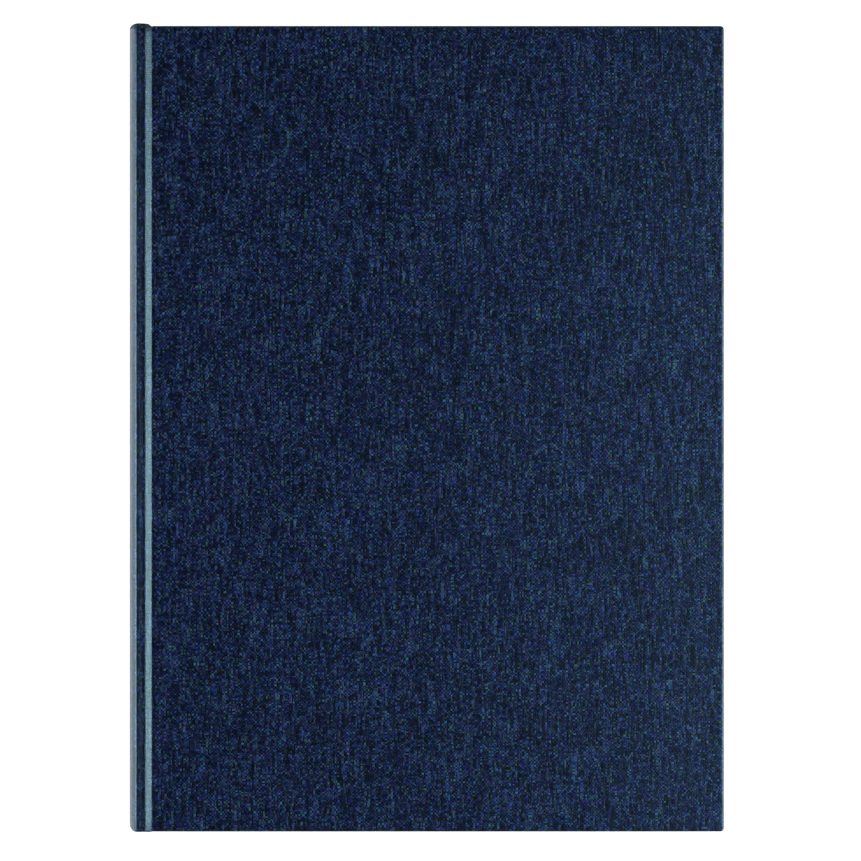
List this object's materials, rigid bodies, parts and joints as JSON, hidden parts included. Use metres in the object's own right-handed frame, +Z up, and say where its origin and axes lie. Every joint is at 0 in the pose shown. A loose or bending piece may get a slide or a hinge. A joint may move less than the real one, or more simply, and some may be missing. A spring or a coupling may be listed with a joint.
{
  "type": "pilot logbook",
  "caption": "Case-bound, sewn logbook with blank linen-weave cloth covers, a hollow rounded spine and turning sections of pages.",
  "frame": {"origin": "centre of the footprint of the closed book, on the outer face of the back cover, which it lies on", "axes": "+Z up, out of the front cover; +Y towards the head of the book; +X from the spine to the fore edge"},
  "size_m": [0.224, 0.3044, 0.0196],
  "materials": {
    "book_cloth": "satin linen-weave book cloth",
    "grey_board": "matte grey board",
    "endpaper": "matte uncoated paper",
    "page_paper": "matte uncoated paper",
    "mull": "open cotton weave",
    "spine_card": "matte card",
    "lining_paper": "matte kraft paper",
    "sewing_tape": "cotton tape",
    "sewing_thread": "waxed linen thread",
    "bands": "woven silk band"
  },
  "bodies": {
    "root": {"spine_cloth": "book_cloth", "spine_card": "spine_card", "spine_lining": "lining_paper", "spine_mull": "mull", "sewing_tapes": "sewing_tape", "sewing_thread": "sewing_thread", "headband": "bands", "tailband": "bands", "front_joint_cloth": "book_cloth", "back_joint_cloth": "book_cloth", "front_mull_joint": "mull", "back_mull_joint": "mull", "front_endpaper_fold": "endpaper", "back_endpaper_fold": "endpaper", "section_01_gutter": "page_paper", "section_02_gutter": "page_paper", "section_03_gutter": "page_paper", "section_04_gutter": "page_paper", "section_05_gutter": "page_paper", "section_06": "page_paper", "section_07": "page_paper", "section_08": "page_paper", "section_09": "page_paper", "section_10": "page_paper"},
    "front_cover": {"front_board": "grey_board", "front_cover_cloth": "book_cloth", "front_pastedown": "endpaper", "front_mull_flange": "mull"},
    "front_flyleaf": {"front_flyleaf": "endpaper"},
    "section_01": {"section_01": "page_paper"},
    "section_02": {"section_02": "page_paper"},
    "section_03": {"section_03": "page_paper"},
    "section_04": {"section_04": "page_paper"},
    "section_05": {"section_05": "page_paper"},
    "back_cover": {"back_board": "grey_board", "back_cover_cloth": "book_cloth", "back_pastedown": "endpaper", "back_mull_flange": "mull"},
    "back_flyleaf": {"back_flyleaf": "endpaper"}
  },
  "joints": [
    {"name": "front_cover_hinge", "type": "hinge", "parent": "root", "child": "front_cover", "pos_m": [-0.1087, 0, 0.0167], "axis": [0, -1, 0], "range_deg": [0, 179.6], "deforming": ["front_joint_cloth", "front_mull_joint", "front_endpaper_fold"]},
    {"name": "front_flyleaf_turn", "type": "hinge", "parent": "root", "child": "front_flyleaf", "pos_m": [-0.1087, 0, 0.0167], "axis": [0, -1, 0], "range_deg": [0, 179.6]},
    {"name": "section_01_turn", "type": "hinge", "parent": "root", "child": "section_01", "pos_m": [-0.1087, 0, 0.0167], "axis": [0, -1, 0], "range_deg": [0, 179.6], "deforming": ["section_01_gutter"]},
    {"name": "section_02_turn", "type": "hinge", "parent": "root", "child": "section_02", "pos_m": [-0.1087, 0, 0.0167], "axis": [0, -1, 0], "range_deg": [0, 179.6], "deforming": ["section_02_gutter"]},
    {"name": "section_03_turn", "type": "hinge", "parent": "root", "child": "section_03", "pos_m": [-0.1087, 0, 0.0167], "axis": [0, -1, 0], "range_deg": [0, 179.6], "deforming": ["section_03_gutter"]},
    {"name": "section_04_turn", "type": "hinge", "parent": "root", "child": "section_04", "pos_m": [-0.1087, 0, 0.0167], "axis": [0, -1, 0], "range_deg": [0, 179.6], "deforming": ["section_04_gutter"]},
    {"name": "section_05_turn", "type": "hinge", "parent": "root", "child": "section_05", "pos_m": [-0.1087, 0, 0.0167], "axis": [0, -1, 0], "range_deg": [0, 179.6], "deforming": ["section_05_gutter"]},
    {"name": "back_cover_hinge", "type": "hinge", "parent": "root", "child": "back_cover", "pos_m": [-0.1087, 0, 0.00295], "axis": [0, 1, 0], "range_deg": [0, 179.6], "deforming": ["back_joint_cloth", "back_mull_joint", "back_endpaper_fold"]},
    {"name": "back_flyleaf_turn", "type": "hinge", "parent": "root", "child": "back_flyleaf", "pos_m": [-0.1087, 0, 0.00295], "axis": [0, 1, 0], "range_deg": [0, 179.6]}
  ],
  "couplings": [
    {"joint": "front_flyleaf_turn", "follows": "front_cover_hinge", "ratio": 0.9985},
    {"joint": "section_01_turn", "follows": "front_cover_hinge", "ratio": 0.9965},
    {"joint": "section_02_turn", "follows": "front_cover_hinge", "ratio": 0.9945},
    {"joint": "section_03_turn", "follows": "front_cover_hinge", "ratio": 0.9925},
    {"joint": "section_04_turn", "follows": "front_cover_hinge", "ratio": 0.9905},
    {"joint": "section_05_turn", "follows": "front_cover_hinge", "ratio": 0.9885},
    {"joint": "back_flyleaf_turn", "follows": "back_cover_hinge", "ratio": 0.9985}
  ]
}
